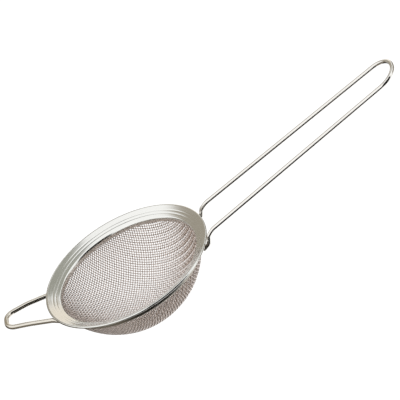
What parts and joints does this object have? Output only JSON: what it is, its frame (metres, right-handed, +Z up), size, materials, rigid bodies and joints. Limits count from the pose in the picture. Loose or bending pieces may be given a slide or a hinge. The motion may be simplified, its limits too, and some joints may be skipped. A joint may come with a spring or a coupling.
{
  "type": "tea strainer",
  "caption": "Hand-held tea strainer: woven wire bowl clamped in a sloping pressed rim, long looped wire handle, short looped wire rest opposite.",
  "frame": {"origin": "middle of the small flat at the bottom of the bowl, on the bowl's axis", "axes": "+Z up the bowl's axis to the open mouth, +X along the long handle, XZ the plane of symmetry"},
  "size_m": [0.1942, 0.075, 0.0576],
  "materials": {
    "satin_rim": "spun satin",
    "satin_band": "rolled, dull",
    "wire_cloth": "woven wire",
    "polished_wire": "polished",
    "weld": "heat tinted"
  },
  "bodies": {
    "root": {"rim_flange": "satin_rim", "clamp_band": "satin_band", "mesh_bowl": "wire_cloth", "handle_wire": "polished_wire", "front_rest_wire": "polished_wire", "handle_weld_left": "weld", "handle_weld_right": "weld", "rest_weld_left": "weld", "rest_weld_right": "weld"}
  },
  "joints": []
}
